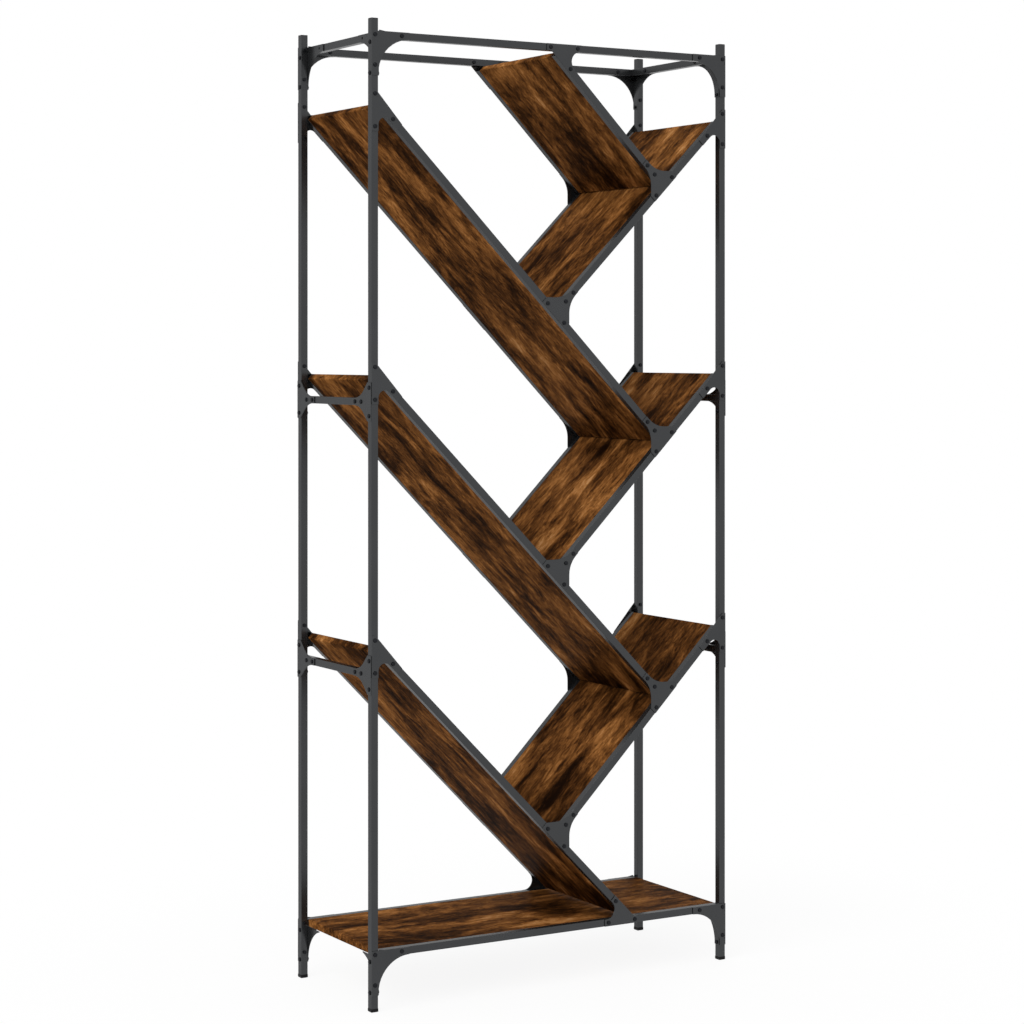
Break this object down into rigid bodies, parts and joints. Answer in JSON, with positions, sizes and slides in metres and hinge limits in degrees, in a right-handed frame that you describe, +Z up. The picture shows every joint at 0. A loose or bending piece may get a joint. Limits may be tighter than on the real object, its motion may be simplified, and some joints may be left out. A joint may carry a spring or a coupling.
{
  "type": "shelving unit",
  "caption": "Tall narrow shelving unit of square steel tube with slanted wooden boards that fork like branches over one level bottom board",
  "frame": {"origin": "on the floor, under the middle of the unit", "axes": "+X along the width to the right seen from the front, +Y to the back, +Z up"},
  "size_m": [0.8796, 0.3396, 1.99],
  "materials": {
    "grey_steel": "dark grey powder coat, satin",
    "oak_board": "smoked oak with dark streaks, matt",
    "black_plastic": "black moulded plastic",
    "black_bolt": "blackened steel"
  },
  "bodies": {
    "root": {"bolts_back": "black_bolt", "bolts_front": "black_bolt", "bolts_sides": "black_bolt", "bottom_board": "oak_board", "bottom_rail_back": "grey_steel", "bottom_rail_front": "grey_steel", "corner_gussets_back": "grey_steel", "corner_gussets_front": "grey_steel", "diagonal_gussets_back": "grey_steel", "diagonal_gussets_front": "grey_steel", "end_gussets_back": "grey_steel", "end_gussets_front": "grey_steel", "falling_board_1": "oak_board", "falling_board_2": "oak_board", "falling_board_3": "oak_board", "falling_board_4": "oak_board", "falling_rail_1_back": "grey_steel", "falling_rail_1_front": "grey_steel", "falling_rail_2_back": "grey_steel", "falling_rail_2_front": "grey_steel", "falling_rail_3_back": "grey_steel", "falling_rail_3_front": "grey_steel", "falling_rail_4_back": "grey_steel", "falling_rail_4_front": "grey_steel", "foot_back_left": "black_plastic", "foot_back_right": "black_plastic", "foot_front_left": "black_plastic", "foot_front_right": "black_plastic", "frame_nuts": "black_bolt", "post_back_left": "grey_steel", "post_back_right": "grey_steel", "post_cap_back_left": "black_plastic", "post_cap_back_right": "black_plastic", "post_cap_front_left": "black_plastic", "post_cap_front_right": "black_plastic", "post_front_left": "grey_steel", "post_front_right": "grey_steel", "rising_board_1": "oak_board", "rising_board_2": "oak_board", "rising_board_3": "oak_board", "rising_rail_1_back": "grey_steel", "rising_rail_1_front": "grey_steel", "rising_rail_2_back": "grey_steel", "rising_rail_2_front": "grey_steel", "rising_rail_3_back": "grey_steel", "rising_rail_3_front": "grey_steel", "side_bar_1_left": "grey_steel", "side_bar_1_right": "grey_steel", "side_bar_2_left": "grey_steel", "side_bar_2_right": "grey_steel", "side_corner_gussets": "grey_steel", "side_foot_plates": "grey_steel", "side_nuts": "black_bolt", "side_tee_gussets": "grey_steel", "tee_gussets_back": "grey_steel", "tee_gussets_front": "grey_steel", "top_rail_back": "grey_steel", "top_rail_front": "grey_steel", "top_rail_left": "grey_steel", "top_rail_right": "grey_steel"}
  },
  "joints": []
}
